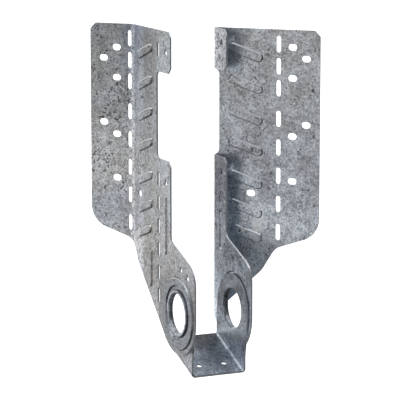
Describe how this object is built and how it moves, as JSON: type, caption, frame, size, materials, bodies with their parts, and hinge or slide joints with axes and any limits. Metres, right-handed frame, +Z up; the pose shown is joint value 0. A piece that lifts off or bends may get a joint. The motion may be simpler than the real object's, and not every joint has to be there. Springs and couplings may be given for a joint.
{
  "type": "skewed joist hanger",
  "caption": "Galvanised steel hanger for a skewed and sloped joist: two slotted, ribbed side plates joined by a swivelling U-shaped seat on rolled eyelets.",
  "frame": {"origin": "on the back of the right plate's header flange, 16 mm beyond its slot line and 75 mm below its top edge", "axes": "+X along the header from the left flange to the right one, +Y into the header, +Z up; the joist runs off towards (+X, -Y) at 45 degrees"},
  "size_m": [0.177, 0.0783, 0.2424],
  "materials": {
    "plate_sheet": "galvanised, mottled",
    "seat_sheet": "galvanised, mottled"
  },
  "bodies": {
    "right_plate": {"right_plate": "plate_sheet"},
    "seat": {"seat": "seat_sheet"},
    "left_plate": {"left_plate": "plate_sheet"}
  },
  "joints": [
    {"name": "seat_swivel", "type": "hinge", "parent": "right_plate", "child": "seat", "pos_m": [-0.05531, -0.0421, -0.1245], "axis": [0.7071, 0.7071, 0], "range_deg": [-65.7, 24.3]},
    {"name": "left_plate_swivel", "type": "hinge", "parent": "seat", "child": "left_plate", "pos_m": [-0.05531, -0.0421, -0.1245], "axis": [0.7071, 0.7071, 0], "range_deg": [-24.3, 65.7]}
  ]
}
